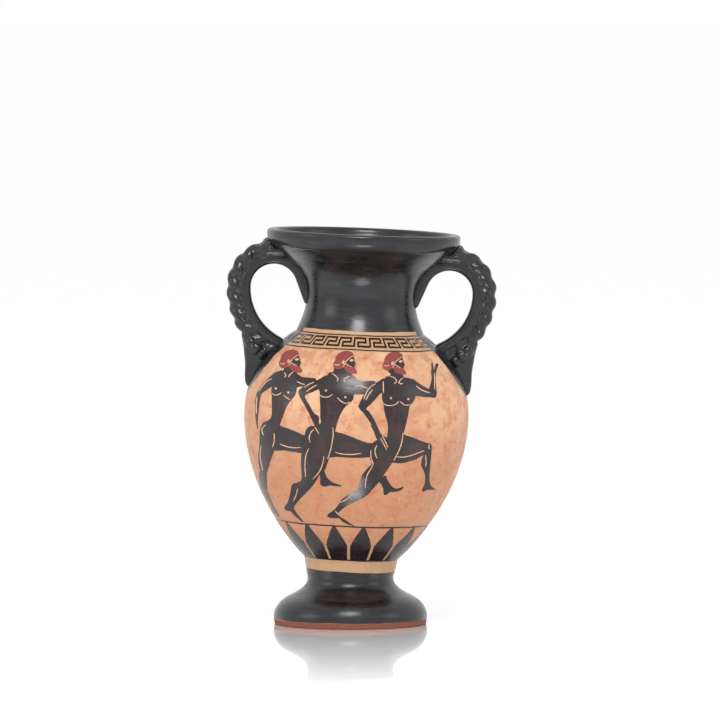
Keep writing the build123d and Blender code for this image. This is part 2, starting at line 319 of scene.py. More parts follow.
def paintedMaterial(name, uprightShare, depth):
    # the painted ground by level and side, the same on every thrown piece
    material, n = newMaterial(name)
    spot = n.use(potPlace, Upright=uprightShare)
    place = spot["Place"]
    here = {"Place": place, "Level": spot["Level"]}
    clay = n.use(clayLook, **here)
    gloss = n.use(glossLook, Place=place)
    brushed = n.use(brushEdge, Wander=1.1, Reach=0.05, **here)["Level"]
    rule = n.use(brushEdge, Wander=0.55, Reach=0.08, **here)["Level"]
    cream = {
        "Color": n.mix(
            n.noise(place, 0.4, 4.0, 0.65), linear(196, 160, 121), linear(176, 133, 97)
        ),
        "Roughness": clay["Roughness"],
        "Height": clay["Height"],
    }
    bandLow, bandTop = zones["bandLow"] - zones["creamBelow"], zones["neckEdge"] + zones["creamAbove"]
    washLow, washTop = zones["footTop"] - zones["washBelow"], zones["lowerLine"] + zones["washAbove"]
    creamHere = n.math(
        "MAXIMUM",
        n.between(rule, bandLow, bandTop, zones["creamSoft"]),
        n.between(rule, washLow, washTop, zones["washSoft"]),
    )
    ground = layer(n, creamHere, clay, cream)
    blacks = []
    for level in ("bandLow", "bandHigh", "baseLine", "lowerLine"):
        half = zones["thinLine" if level.startswith("band") else "thickLine"]
        blacks.append(n.between(rule, zones[level] - half, zones[level] + half, zones["crisp"]))
    blacks.append(n.step(brushed, zones["neckEdge"], zones["crisp"]))
    blacks.append(n.between(brushed, zones["bareTop"], zones["footTop"], zones["crisp"]))
    black = leafBlack(n, spot)
    for part in blacks:
        black = n.math("MAXIMUM", black, part)
    bare = n.math("SUBTRACT", 1.0, n.step(rule, zones["bareTop"], zones["bareSoft"]))
    raw = {
        "Color": n.mix(n.noise(place, 0.5, 4.0, 0.7), linear(112, 58, 44), linear(140, 80, 60)),
        "Roughness": 0.85,
        "Height": clay["Height"],
    }
    ground = layer(n, bare, ground, raw)
    dress(n, layer(n, black, ground, gloss), depth, black)
    return material


def glossMaterial(name, streaks, wear, depth):
    material, n = newMaterial(name)
    place = n.use(potPlace)["Place"]
    dress(n, n.use(glossLook, Place=place, Streaks=streaks, Wear=wear), depth)
    return material


def figureMaterial(name):
    # the slip of the painted figures, browner where it was brushed thin
    material, n = newMaterial(name)
    place = n.use(potPlace)["Place"]
    look = dict(n.use(glossLook, Place=place, Streaks=0.2, Wear=0.8).items())
    wash = n.add("ShaderNodeAttribute", attribute_name="wash").outputs["Fac"]
    smear = n.noise(place, 0.7, 4.0, 0.65, (1.0, 1.0, 0.25))
    thin = n.times(n.step(wash, 0.1, 0.45), n.step(smear, 0.42, 0.2))
    look["Color"] = n.mix(n.times(thin, 0.6), look["Color"], linear(72, 38, 36))
    dress(n, look, 0.03 * mm)
    return material


def redMaterial(name):
    # matt red-purple over the slip, flaked in places
    material, n = newMaterial(name)
    place = n.use(potPlace)["Place"]
    clay = n.use(clayLook, Place=place, Level=70.0)
    tone = n.mix(n.noise(place, 0.8, 3.0), linear(122, 44, 40), linear(146, 66, 58))
    tone = n.tint(tone, n.noise(place, 1.6, 4.0, 0.7), 0.58, 0.06, 0.35, (70, 36, 36))
    dress(n, {"Color": tone, "Roughness": 0.62, "Height": clay["Height"]}, 0.12 * mm)
    return material


def incisedMaterial(name):
    # clay laid bare by the point, darkened with dust in places
    material, n = newMaterial(name)
    place = n.use(potPlace)["Place"]
    look = dict(n.use(clayLook, Place=place, Level=60.0).items())
    dust = n.noise(place, 0.8, 3.0, 0.65)
    look["Color"] = n.tint(linear(214, 172, 140), dust, 0.5, 0.12, 0.5, (166, 104, 82))
    dress(n, look, 0.08 * mm)
    return material


print("shared looks ready")


def curve(points, count):
    # points along a Bezier curve of any order, without its first one
    t = np.linspace(0, 1, count + 1)[1:, None]
    rows = [np.array(p, float) for p in points]
    while len(rows) > 1:
        rows = [(1 - t) * a + t * b for a, b in zip(rows, rows[1:])]
    return rows[0]


def outline(start, *parts):
    # straight ends, and curves as (points..., count), in one run of (radius, level)
    run = [np.array([start], float)]
    for part in parts:
        if isinstance(part, tuple):
            run.append(np.array([part], float))
        else:
            run.append(curve([run[-1][-1], *part[:-1]], part[-1]))
    return np.concatenate(run)


def offsetRun(run, wall):
    # a rising run moved inwards, square to itself
    along = np.gradient(run, axis=0)
    along /= np.linalg.norm(along, axis=1)[:, None]
    return run + wall * np.stack([-along[:, 1], along[:, 0]], 1)


def crossing(run, level):
    return (float(np.interp(level, run[:, 1], run[:, 0])), level)


# radii and levels in millimetres, as the foot, belly, neck and lip are turned
footTop = 20.0
neckBase = 112.0
lipBase = 143.8
hipRows = 4
bodyOut = outline(
    (16.9, footTop),
    [(18.0, 25.5), hipRows],
    [(25.65, 32.39), (43.0, 54.5), (43.0, 79.5), 52],
    [(43.0, 96.5), (34.38, 104.48), (24.4, neckBase), 42],
)
neckOut = outline(
    (24.4, neckBase),
    [(22.86, 116.23), (20.9, 119.0), (20.9, 125.0), 16],
    [(20.9, 134.5), (26.32, 137.64), (34.2, lipBase), 26],
)
neckIn = offsetRun(neckOut, 3.2)
neckBore = crossing(neckIn, neckBase)
lipBore = crossing(neckIn, lipBase)
neckIn = neckIn[(neckIn[:, 1] > neckBase + 0.5) & (neckIn[:, 1] < lipBase - 0.5)]
bodyIn = offsetRun(bodyOut[hipRows + 1 :], 3.6)
bodyIn = bodyIn[bodyIn[:, 1] < neckBase - 2.0]
thrown = {
    "amphoraFoot": {
        "node": "foot", "finish": "foot",
        "run": outline(
            (0, 0), (28.0, 0), (28.7, 0.05), (29.1, 0.4), (29.2, 1.3),
            [(30.1, 5.2), (27.71, 8.53), (24.0, 10.5), 20],
            [(19.585, 12.85), (16.5, 14.3), (16.5, 17.8), 20],
            [(16.5, 18.6), (16.706, 19.22), (16.9, footTop), 5],
            (16.84, 20.8), (0, 20.8),
        ),
    },
    "amphoraBelly": {
        "node": "body", "finish": "painted",
        "run": np.concatenate([
            [(0, footTop)], bodyOut, [neckBore], bodyIn[::-1],
            outline(bodyIn[0], [(10.5, 24.6), (8.0, 25.0), (0, 25.0), 10])[1:],
        ]),
    },
    "amphoraNeck": {
        "node": "neck", "finish": "painted",
        "run": np.concatenate([neckOut, [lipBore], neckIn[::-1], [neckBore], neckOut[:1]]),
    },
    "amphoraLip": {
        "node": "lip", "finish": "lip",
        "run": outline(
            lipBore, (34.2, lipBase),
            [(35.6, 144.9), (36.7, 146.0), (36.9, 147.7), 10],
            (37.0, 149.1),
            [(37.0, 150.3), (35.9, 150.5), 6],
            (35.2, 150.5),
            [(33.9, 150.5), (33.5, 149.6), (33.3, 148.5), 8],
            [(33.0, 146.8), (30.73, 145.15), lipBore, 12],
        ),
    },
}


def newTree(name, counts, sizes, *others):
    # every tree takes the drawn shape, a seed and a finish, and gives the made shape
    inputs = [("Geometry", shapeSocket), *others, ("Material", "NodeSocketMaterial")]
    inputs += [(label, "NodeSocketInt") for label in counts]
    inputs += [(label, floatSocket) for label in (*sizes, "Seed")]
    return newGroup(name, "GeometryNodeTree", inputs, [("Geometry", shapeSocket)])


def finishTree(n, given, out, geometry, cornerAngle):
    # crisp corners, real geometry and the finish: the end of every tree here
    geometry = n.get("GeometryNodeSetShadeSmooth", {"Geometry": geometry})
    corner = n.get("GeometryNodeInputMeshEdgeAngle")
    crisp = n.get(
        "GeometryNodeSetShadeSmooth",
        {"Geometry": geometry, "Selection": n.math("GREATER_THAN", corner, cornerAngle),
         "Shade Smooth": False},
        domain="EDGE",
    )
    real = n.get("GeometryNodeRealizeInstances", {"Geometry": crisp})
    n.put(
        out["Geometry"],
        n.get("GeometryNodeSetMaterial", {"Geometry": real, "Material": given["Material"]}),
    )


def turningTree():
    # turns a profile polyline on the wheel, with the small unevenness of hand work
    tree, n, given, out = newTree("turnOnWheel", ("Sides", "Rows"), ("Wobble", "Rings"))
    columns = n.plus(given["Sides"], 1.0)
    grid = n.get("GeometryNodeMeshGrid", {"Vertices X": columns, "Vertices Y": given["Rows"]})
    index = n.get("GeometryNodeInputIndex")
    column = n.math("FLOOR", n.math("DIVIDE", index, given["Rows"]))
    drawnSpot = n.get(
        "GeometryNodeSampleIndex",
        {"Geometry": given["Geometry"], "Index": n.math("MODULO", index, given["Rows"]),
         "Value": n.get("GeometryNodeInputPosition")},
        data_type="FLOAT_VECTOR", domain="POINT",
    )
    radius, _, level = n.split(drawnSpot)
    angle = n.times(n.math("DIVIDE", column, given["Sides"]), turnFull)
    outX, outY = n.math("COSINE", angle), n.math("SINE", angle)
    plain = n.combine(n.times(radius, outX), n.times(radius, outY), level)
    wander = n.get(
        "ShaderNodeTexNoise", {"Vector": plain, "W": given["Seed"], "Scale": 32.0},
        noise_dimensions="4D",
    )
    throwing = n.get(
        "ShaderNodeTexNoise",
        {"W": n.math("MULTIPLY_ADD", level, 260.0, given["Seed"]), "Scale": 1.0},
        noise_dimensions="1D",
    )
    uneven = n.plus(n.sway(wander, given["Wobble"]), n.sway(throwing, given["Rings"]))
    # the resting face and the axis stay true
    steady = n.times(n.ramp(level, 0.0015, 0.008), n.ramp(radius, 0.0, 0.012))
    uneven = n.times(uneven, steady)
    shift = n.combine(n.times(outX, uneven), n.times(outY, uneven))
    placed = n.get(
        "GeometryNodeSetPosition", {"Geometry": grid, "Position": n.vector("ADD", plain, shift)}
    )
    closed = n.get("GeometryNodeMergeByDistance", {"Geometry": placed, "Distance": 2e-6})
    finishTree(n, given, out, closed, 0.7)
    return tree


def coilTree():
    # winds clay coils round a path that lies in the plane of the pot's axis
    tree, n, given, out = newTree(
        "windCoils", ("Coils",), ("Thickness", "Offset", "Pitch", "Core", "Uneven")
    )
    path = n.get("GeometryNodeMeshToCurve", {"Mesh": given["Geometry"]})
    fine = n.get("GeometryNodeResampleCurve", {"Curve": path, "Count": 150})
    copies = n.add(
        "GeometryNodeDuplicateElements", {"Geometry": fine, "Amount": given["Coils"]}, domain="SPLINE"
    )
    sideways = (0.0, 1.0, 0.0)
    outward = n.vector("CROSS_PRODUCT", n.get("GeometryNodeInputTangent"), sideways)
    length = n.add("GeometryNodeSplineParameter").outputs["Length"]
    turns = n.math("DIVIDE", length, given["Pitch"])
    share = n.math("DIVIDE", copies.outputs["Duplicate Index"], given["Coils"])
    swing = n.times(n.plus(turns, share), turnFull)
    offset = n.vector(
        "ADD", n.scaled(outward, n.times(n.math("COSINE", swing), given["Offset"])),
        n.scaled(sideways, n.times(n.math("SINE", swing), given["Offset"])),
    )
    placed = n.get("GeometryNodeSetPosition", {"Geometry": copies.outputs[0], "Offset": offset})
    wander = n.get(
        "ShaderNodeTexNoise",
        {"W": n.math("MULTIPLY_ADD", turns, 2.3, n.plus(given["Seed"], share)), "Scale": 1.0},
        noise_dimensions="1D",
    )
    thickness = n.plus(n.math("DIVIDE", given["Thickness"], 2.0), n.sway(wander, given["Uneven"]))
    ring = n.get("GeometryNodeCurvePrimitiveCircle", {"Resolution": 20, "Radius": 1.0})
    both = n.add("GeometryNodeJoinGeometry")
    for line, radius in ((placed, thickness), (fine, given["Core"])):
        n.put(both.inputs[0], n.get(
            "GeometryNodeCurveToMesh",
            {"Curve": line, "Profile Curve": ring, "Fill Caps": True, "Scale": radius},
        ))
    finishTree(n, given, out, both.outputs[0], 1.2)
    return tree


def wrapTree():
    # repeats a flat motif round the pot and lays it on the clay as a film of slip
    tree, n, given, out = newTree(
        "wrapMotif", ("Count",), ("Width", "Start", "Lift", "Sink", "Uneven"),
        ("Pot", "NodeSocketObject"),
    )
    line = n.get("GeometryNodeMeshLine", {"Count": given["Count"], "Offset": (0, 0, 0)})
    many = n.get("GeometryNodeInstanceOnPoints", {"Points": line, "Instance": given["Geometry"]})
    tagged = n.get(
        "GeometryNodeStoreNamedAttribute",
        {"Geometry": many, "Name": "which", "Value": n.get("GeometryNodeInputIndex")},
        domain="INSTANCE", data_type="FLOAT",
    )
    real = n.get("GeometryNodeRealizeInstances", {"Geometry": tagged})
    which = n.get("GeometryNodeInputNamedAttribute", {"Name": "which"}, data_type="FLOAT")
    across, up, side = n.split(n.get("GeometryNodeInputPosition"))
    noisePlace = n.combine(
        n.math("MULTIPLY_ADD", which, 7.3, n.times(across, 260.0)), n.times(up, 260.0), given["Seed"]
    )
    noise = n.add("ShaderNodeTexNoise", {"Vector": noisePlace, "Scale": 1.0}).outputs["Color"]
    shift = n.split(n.scaled(n.vector("SUBTRACT", noise, (0.5, 0.5, 0.5)), given["Uneven"]))
    share = n.math("DIVIDE", n.plus(across, shift["X"]), given["Width"])
    turn = n.math("DIVIDE", n.plus(which, share), given["Count"])
    angle = n.math("MULTIPLY_ADD", turn, turnFull, given["Start"])
    outward = n.combine(n.math("COSINE", angle), n.math("SINE", angle))
    upward = n.combine(z=n.plus(up, shift["Y"]))
    pot = n.add("GeometryNodeObjectInfo", {"Object": given["Pot"]})
    ray = n.add("GeometryNodeRaycast", {
        "Target Geometry": pot.outputs["Geometry"],
        "Source Position": n.vector("ADD", n.scaled(outward, 0.2), upward),
        "Ray Direction": n.scaled(outward, -1.0), "Ray Length": 0.2,
    })
    onTop = n.math("GREATER_THAN", side, 0.0)
    height = n.math("SUBTRACT", n.times(onTop, n.plus(given["Lift"], given["Sink"])), given["Sink"])
    laid = n.vector(
        "ADD", ray.outputs["Hit Position"], n.scaled(ray.outputs["Hit Normal"], height)
    )
    placed = n.get("GeometryNodeSetPosition", {"Geometry": real, "Position": laid})
    finishTree(n, given, out, placed, 0.7)
    return tree


def runTree(obj, tree, values):
    # sets a tree's inputs by the names shown on it
    modifier = obj.modifiers.new(tree.name, "NODES")
    modifier.node_group = tree
    for item in tree.interface.items_tree:
        if item.item_type == "SOCKET" and item.in_out == "INPUT" and item.name in values:
            modifier[item.identifier] = values[item.name]


def newObject(name, verts, edges, faces):
    mesh = bpy.data.meshes.new(name)
    mesh.from_pydata([tuple(map(float, v)) for v in verts], edges, faces)
    obj = bpy.data.objects.new(name, mesh)
    scene.collection.objects.link(obj)
    return obj


def newLine(name, points):
    return newObject(name, points, [(i, i + 1) for i in range(len(points) - 1)], [])


def faceOutward(mesh, weld=None):
    work = bmesh.new()
    work.from_mesh(mesh)
    if weld:
        bmesh.ops.remove_doubles(work, verts=work.verts, dist=weld)
    bmesh.ops.recalc_face_normals(work, faces=work.faces)
    work.to_mesh(mesh)
    work.free()
    mesh.update()


def settle(obj):
    # bakes every modifier into a plain mesh with its faces outward
    view = bpy.context.evaluated_depsgraph_get()
    mesh = bpy.data.meshes.new_from_object(obj.evaluated_get(view), depsgraph=view)
    obj.modifiers.clear()
    obj.data = mesh
    faceOutward(mesh, 1e-6)
    return obj


def soften(obj, grain, rounds):
    # one skin of small even faces, rubbed smooth
    clay = obj.modifiers.new("oneClay", "REMESH")
    clay.mode = "VOXEL"
    clay.voxel_size = grain
    rubbed = obj.modifiers.new("rubbed", "SMOOTH")
    rubbed.factor = 0.5
    rubbed.iterations = rounds


def surfaceOf(*objects):
    # one tree of faces for finding places on several pieces
    verts, faces = [], []
    for obj in objects:
        start = len(verts)
        verts += [v.co.copy() for v in obj.data.vertices]
        faces += [tuple(start + i for i in p.vertices) for p in obj.data.polygons]
    return BVHTree.FromPolygons(verts, faces)


finishes = {
    "painted": paintedMaterial("paintedClay", 0.0, 0.09 * mm),
    "foot": paintedMaterial("footGloss", 1.0, 0.09 * mm),
    "lip": glossMaterial("lipGloss", 0.9, 1.0, 0.09 * mm),
    "handle": glossMaterial("handleGloss", 0.2, 0.8, 0.06 * mm),
    "figure": figureMaterial("figureSlip"),
    "red": redMaterial("addedRed"),
    "incised": incisedMaterial("incisedClay"),
}
wheel = turningTree()
upright = []  # pieces made on the upright pot, to be leaned together at the end
rides = []  # (piece, CAD nodes it stands for, slot)
for name, part in thrown.items():
    node = part["node"]
    run = part["run"] * mm
    piece = newLine(name, [(r, 0, z) for r, z in run])
    runTree(piece, wheel, {
        "Sides": 220, "Rows": len(run), "Wobble": 0.7 * mm, "Rings": 0.14 * mm,
        "Seed": 4.0, "Material": finishes[part["finish"]],
    })
    part["object"] = settle(piece)
    rides.append((piece, [node], "painted_clay" if node == "body" else "black_gloss"))
    if node != "foot":
        upright.append(piece)
    print("turned", name, len(piece.data.polygons), "faces")
belly = thrown["amphoraBelly"]["object"]
potSurface = surfaceOf(*(thrown[k]["object"] for k in ("amphoraBelly", "amphoraNeck", "amphoraLip")))
bellySurface = surfaceOf(belly)

# handles: the strap and the luted lumps of clay, with two coils wound down the outside
handle = {
    "crownReach": 33.6 * mm, "crownLevel": 128.0 * mm, "crownRadius": 9.1 * mm,
    "sideReach": 21.35 * mm, "ropeOffset": 5.4 * mm, "startAngle": 80.0, "endAngle": 73.0,
    "rope": {
        "Coils": 2, "Thickness": 4.7 * mm, "Offset": 1.4 * mm, "Pitch": 11.6 * mm,
        "Core": 3.1 * mm, "Uneven": 0.6 * mm, "Material": finishes["handle"],
    },
    "grain": 0.27 * mm, "rounding": 12,
    "contact": 0.5 * mm, "buried": 2.2 * mm, "lumpGrain": 0.4 * mm, "longest": 1.2 * mm,
    # how far each lump is rubbed down, how much it swells back, how it is squeezed and tucked in
    "lumps": {
        "strap": (14, 0.25, 1.0, 0.0), "upper_root": (50, 0.75, 0.95, 0.0),
        "lower_root": (60, 0.95, 0.5, 0.9 * mm),
    },
    "tuckFrom": 92.0 * mm, "tuckOver": 6.0 * mm, "crownTop": 143.8 * mm,
    # dabs of clay pressed into the joints: reach, depth, level and size
    "dabs": (
        (36.2, 0.0, 144.4, 2.6), (35.8, 3.0, 144.2, 2.5), (35.8, -3.0, 144.2, 2.5),
        (42.8, -1.2, 109.2, 2.5), (41.4, -1.9, 106.4, 2.6), (39.2, -2.0, 104.2, 2.6),
        (37.0, -1.9, 102.4, 2.4), (42.8, 1.2, 109.2, 2.5), (41.4, 1.9, 106.4, 2.6),
        (39.2, 2.0, 104.2, 2.6), (37.0, 1.9, 102.4, 2.4),
    ),
}


def wetLump(nodeName, rubbed, swell, squeeze, tuck):
    # a copy of a CAD piece as soft clay, run on into the pot's wall where it touches
    work = bmesh.new()
    work.from_mesh(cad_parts[nodeName].data)
    bmesh.ops.remove_doubles(work, verts=work.verts, dist=2e-6)
    for _ in range(3):
        long = [e for e in work.edges if e.calc_length() > handle["longest"]]
        bmesh.ops.subdivide_edges(work, edges=long, cuts=1, use_grid_fill=False)
        bmesh.ops.triangulate(work, faces=[f for f in work.faces if len(f.verts) > 3])
    work.transform(leanMatrix.inverted())
    for vert in work.verts:
        _, normal, _, gap = potSurface.find_nearest(vert.co)
        if gap < handle["contact"]:
            vert.co -= normal * handle["buried"]
        vert.co.y *= squeeze
        vert.co.z = min(vert.co.z, handle["crownTop"])
        share = min(max((vert.co.z - handle["tuckFrom"]) / handle["tuckOver"], 0.0), 1.0)
        vert.co.x -= math.copysign(tuck * share, vert.co.x)
    lump = newObject("lump", [], [], [])
    work.to_mesh(lump.data)
    work.free()
    soften(lump, handle["lumpGrain"], rubbed)
    swollen = lump.modifiers.new("swollen", "DISPLACE")
    swollen.mid_level = 0.0
    swollen.strength = swell * mm
    return settle(lump)


coiling = coilTree()
for side, turn in (("Right", 0.0), ("Left", math.pi)):
    turning = Matrix.Rotation(turn, 4, "Z")
    nodeNames = [
        f"handle_{side.lower()}_{part}"
        for part in ("strap", "strand_a", "strand_b", "upper_root", "lower_root")
    ]
    arcs = (
        (handle["crownReach"], handle["crownRadius"], handle["startAngle"], 0.0),
        (handle["sideReach"], handle["sideReach"], 0.0, -handle["endAngle"]),
    )
    path = []
    for reach, radius, start, end in arcs:
        bent = radius + handle["ropeOffset"]
        for angle in np.radians(np.linspace(start, end, 24))[(1 if path else 0):]:
            level = handle["crownLevel"] + bent * math.sin(angle)
            path.append((reach + bent * math.cos(angle), 0, level))
    rope = newLine("rope", path)
    runTree(rope, coiling, {**handle["rope"], "Seed": 2.0 + turn})
    settle(rope)
    work = bmesh.new()
    work.from_mesh(rope.data)
    work.transform(turning)
    for part, settings in handle["lumps"].items():
        lump = wetLump(f"handle_{side.lower()}_{part}", *settings)
        work.from_mesh(lump.data)
        bpy.data.objects.remove(lump)
    for *spot, size in handle["dabs"]:
        place = turning @ Matrix.Translation([v * mm for v in spot])
        bmesh.ops.create_icosphere(work, subdivisions=3, radius=size * mm, matrix=place)
    bpy.data.objects.remove(rope)
    piece = newObject(f"handle{side}", [], [], [])
    work.to_mesh(piece.data)
    work.free()
    soften(piece, handle["grain"], handle["rounding"])
    settle(piece)
    piece.data.shade_smooth()
    piece.data.materials.clear()
    piece.data.materials.append(finishes["handle"])
    upright.append(piece)
    rides.append((piece, nodeNames, "black_gloss"))
    print("luted", piece.name, len(piece.data.polygons), "faces")
print("handles done")


def smoothed(points, step, closed=True):
    # a soft line through given points, in pieces no longer than the step
    points = [np.array(p, float) for p in points]
    count = len(points)
    run = []
    for i in range(count if closed else count - 1):
        if closed:
            a, b, c, d = (points[(i + k) % count] for k in (-1, 0, 1, 2))
        else:
            a, b, c, d = (points[min(max(i + k, 0), count - 1)] for k in (-1, 0, 1, 2))
        pieces = max(1, math.ceil(np.linalg.norm(c - b) / step))
        for k in range(pieces):
            t = k / pieces
            run.append(0.5 * (
                2 * b + (c - a) * t + (2 * a - 5 * b + 4 * c - d) * t * t
                + (3 * b - a - 3 * c + d) * t**3
            ))
    if not closed:
        run.append(points[-1])
    return run


def strokeOutline(points, width, taper=0.35):
    # the outline of a line drawn with a point that bites in and lifts out
    points = np.array(points)
    along = np.gradient(points, axis=0)
    along /= np.linalg.norm(along, axis=1)[:, None] + 1e-9
    square = np.stack([-along[:, 1], along[:, 0]], 1)
    share = np.linspace(0, 1, len(points))
    half = width / 2 * (1 - taper * np.abs(2 * share - 1) ** 3)
    left, right = points + square * half[:, None], points - square * half[:, None]
    return list(left) + list(right[::-1])


def insideOutline(spots, corners):
    # which spots lie inside a closed outline
    hits = np.zeros(len(spots), bool)
    for (ax, ay), (bx, by) in zip(corners, np.roll(corners, -1, axis=0)):
        crosses = (ay > spots[:, 1]) != (by > spots[:, 1])
        where = (bx - ax) * (spots[:, 1] - ay) / (by - ay + 1e-15) + ax
        hits ^= crosses & (spots[:, 0] < where)
    return hits


def stepped(ring, step):
    # a closed ring of corners, in straight pieces no longer than the step
    run = []
    for a, b in zip(ring, ring[1:] + ring[:1]):
        a, b = np.array(a, float), np.array(b, float)
        pieces = max(1, math.ceil(np.linalg.norm(b - a) / step))
        run += [a + (b - a) * k / pieces for k in range(pieces)]
    return run


def flatSheet(corners, step):
    # a closed outline filled with small triangles: (points, triangles, rim edges)
    corners = np.array(corners, float)
    low, high = corners.min(0), corners.max(0)
    gridX, gridY = np.meshgrid(
        np.arange(low[0] + step / 2, high[0], step), np.arange(low[1] + step / 2, high[1], step)
    )
    spots = np.stack([gridX.ravel(), gridY.ravel()], 1)
    if len(spots):
        spots = spots[insideOutline(spots, corners)]
    if len(spots):
        gap = np.min(np.linalg.norm(spots[:, None] - corners[None], axis=2), axis=1)
        spots = spots[gap > 0.45 * step]
    spots = [Vector(p) for p in list(corners) + list(spots)]
    found = delaunay_2d_cdt(spots, [], [list(range(len(corners)))], 1, 1e-6)
    points, triangles = found[0], found[2]
    seen = {}
    for triangle in triangles:
        for a, b in zip(triangle, triangle[1:] + triangle[:1]):
            key = (min(a, b), max(a, b))
            seen[key] = None if key in seen else (a, b)
    return points, triangles, [pair for pair in seen.values() if pair]


class Film:
    # gathers thin closed patches that lie on the pot, to make one piece of them

    def __init__(self):
        self.verts, self.faces, self.wash = [], [], []

    def lay(self, corners, lift, step, place, wash=None):
        points, triangles, rim = flatSheet(corners, step)
        used = sorted({i for triangle in triangles for i in triangle})
        low, high = {}, {}
        for i in used:
            spot = place(points[i])
            if spot is None:
                return
            where, normal = spot
            low[i] = len(self.verts)
            high[i] = low[i] + 1
            self.verts += [where - normal * sunk, where + normal * lift]
            tone = wash(points[i]) if wash else 0.0
            self.wash += [tone, tone]
        for a, b, c in triangles:
            self.faces += [(high[a], high[b], high[c]), (low[c], low[b], low[a])]
        for a, b in rim:
            self.faces.append((high[b], high[a], low[a], low[b]))

    def make(self, name, material):
        piece = newObject(name, self.verts, [], self.faces)
        tone = piece.data.attributes.new("wash", "FLOAT", "POINT")
        tone.data.foreach_set("value", self.wash)
        faceOutward(piece.data)
        piece.data.shade_smooth()
        piece.data.set_sharp_from_angle(angle=0.7)
        piece.data.materials.append(material)
        print("laid", name, len(piece.data.polygons), "faces")
        return piece


sunk = 0.06 * mm
bands = {
    "rays": 16, "rayStart": 8.6, "keys": 30, "keyStart": 2.0,
    "keyLow": 107.7, "keyHigh": 111.2, "keyLine": 0.66, "keyRadius": 27.6,
    "lift": 0.07 * mm, "uneven": 0.35 * mm,
}


def motif(name, corners, step):
    # a flat prism of the outline, its bottom at nought and its top at one
    points, triangles, rim = flatSheet(corners, step)
    verts = [(p[0] * mm, p[1] * mm, z) for p in points for z in (0.0, 1.0)]
    faces = []
    for triangle in triangles:
        faces.append([2 * i + 1 for i in triangle])
        faces.append([2 * i for i in reversed(triangle)])
    faces += [(2 * b + 1, 2 * a + 1, 2 * a, 2 * b) for a, b in rim]
    return newObject(name, verts, [], faces)


def wrapRound(piece, values):
    runTree(piece, wrapping, {
        "Pot": belly, "Lift": bands["lift"], "Sink": sunk, "Uneven": bands["uneven"],
        "Material": finishes["figure"], **values,
    })
    settle(piece)
    upright.append(piece)
    rides.append((piece, [], "black_gloss"))
    print("wrapped", piece.name, len(piece.data.polygons), "faces")


wrapping = wrapTree()
# a ray of the lower band, as (share of the pitch that it covers, level)
rayShape = [(0.06, 39.4), (0.87, 31.6), (0.86, 25.5)]
rayReach = float(np.interp(rayShape[1][1], bodyOut[:, 1], bodyOut[:, 0]))
rayWidth = turnFull * rayReach / bands["rays"]
rayRing = [(rayWidth * share / 2, level) for share, level in rayShape]
rayRing += [(-x, level) for x, level in rayRing[::-1]]
wrapRound(motif("raysBlack", stepped(rayRing, 0.8), 1.2), {
    "Count": bands["rays"], "Width": rayWidth * mm, "Start": math.radians(bands["rayStart"]),
    "Seed": 5.0,
})
# the running key, drawn as one line per turn: (share of the pitch, share of the height)
keyPath = [(0, 0), (0, 1), (0.74, 1), (0.74, 0.5), (0.25, 0.5), (0.25, 0), (1, 0)]
keyPitch = turnFull * bands["keyRadius"] / bands["keys"]
keyRise = bands["keyHigh"] - bands["keyLow"]
half = bands["keyLine"] / 2
corners = np.array([
    (x * keyPitch, bands["keyLow"] + half + y * (keyRise - 2 * half)) for x, y in keyPath
])
# every turn is square, so each side of the line meets the corner both ways at once
along = np.sign(np.diff(corners, axis=0))
before, after = np.vstack([(0, 0), along]), np.vstack([along, (0, 0)])
corner = np.stack([-before[:, 1] - after[:, 1], before[:, 0] + after[:, 0]], 1) * half
corner[0] = (-half, half)
leftSide, rightSide = list(corners + corner), list(corners - corner)
leftSide[0] = corners[0] - half
wrapRound(motif("runningKey", stepped(leftSide + rightSide[::-1], 0.7), 1.0), {
    "Count": bands["keys"], "Width": keyPitch * mm, "Start": math.radians(bands["keyStart"]),
    "Uneven": 0.45 * mm, "Seed": 9.0,
})


def viewAxes(elevation):
    # along and up, looking level or a little down at the front
    rise, run = math.sin(elevation), math.cos(elevation)
    return Vector((0, run, -rise)), Vector((0, rise, run))


# the painted frieze, drawn as seen from the front: millimetres across and up
sightDistance = 200 * mm
sightAlong, sightUp = viewAxes(math.radians(3.3))


def drawn(text):
    # "x y, x y, ..." as points
    return [tuple(float(v) for v in pair.split()) for pair in text.split(",")]


def placeFrom(turn):
    # how a spot on the drawing lands on the belly, from the front or turned about the axis
    turning = Matrix.Rotation(turn, 3, "Z")

    def place(spot):
        start = Vector((spot[0] * mm, 0, 0)) + sightUp * (spot[1] * mm) - sightAlong * sightDistance
        where, normal, _, _ = bellySurface.ray_cast(turning @ start, turning @ sightAlong)
        return None if where is None else (where, normal)

    return place


